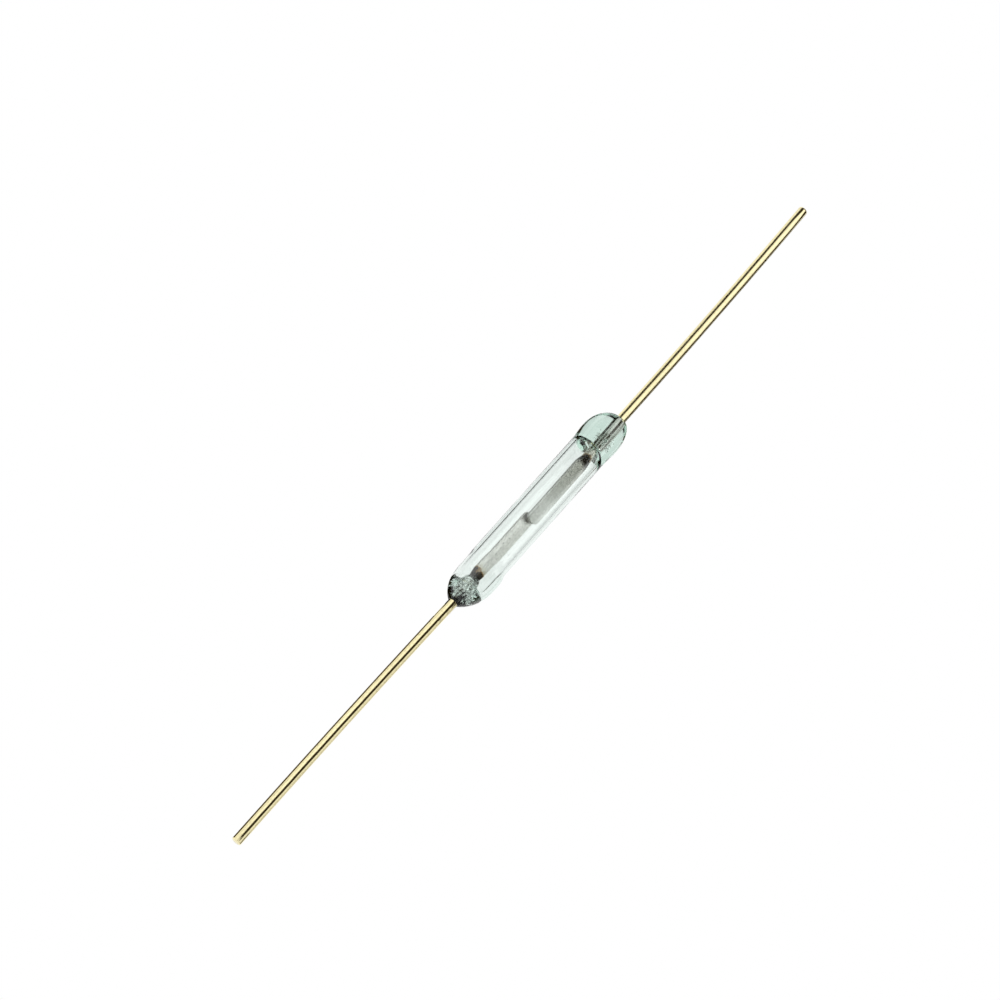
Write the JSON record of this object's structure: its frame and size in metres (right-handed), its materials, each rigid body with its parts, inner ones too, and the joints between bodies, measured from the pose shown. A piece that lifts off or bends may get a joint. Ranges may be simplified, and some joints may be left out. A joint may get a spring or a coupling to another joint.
{
  "type": "glass reed switch",
  "caption": "Slim glass tube sealed around overlapping spring reeds with a straight gold-plated lead at each end. A magnet brought near closes the contact.",
  "frame": {"origin": "middle of the glass, on the tube's axis", "axes": "+X along the tube towards the beaded end; the blades lie flat in XY, and the contact gap opens along Z"},
  "size_m": [0.045, 0.0022, 0.0022],
  "materials": {
    "glass": "clear, pale mint green",
    "plated_wire": "bright pale gold plating on nickel-iron wire",
    "reed_blade": "satin grey stamped nickel-iron"
  },
  "bodies": {
    "envelope": {"glass_envelope": "glass", "nose_lead": "plated_wire", "bead_lead": "plated_wire"},
    "nose_reed": {"nose_blade": "reed_blade"},
    "bead_reed": {"bead_blade": "reed_blade"}
  },
  "joints": [
    {"name": "nose_blade_flex", "type": "hinge", "parent": "envelope", "child": "nose_reed", "pos_m": [-0.00421, 0, 0], "axis": [0, -1, 0], "range_deg": [0, 1.19], "stiffness_Nm_per_rad": 0.038},
    {"name": "bead_blade_flex", "type": "hinge", "parent": "envelope", "child": "bead_reed", "pos_m": [0.003, 0, 0.00033], "axis": [0, -1, 0], "range_deg": [0, 1.19], "stiffness_Nm_per_rad": 0.038}
  ]
}
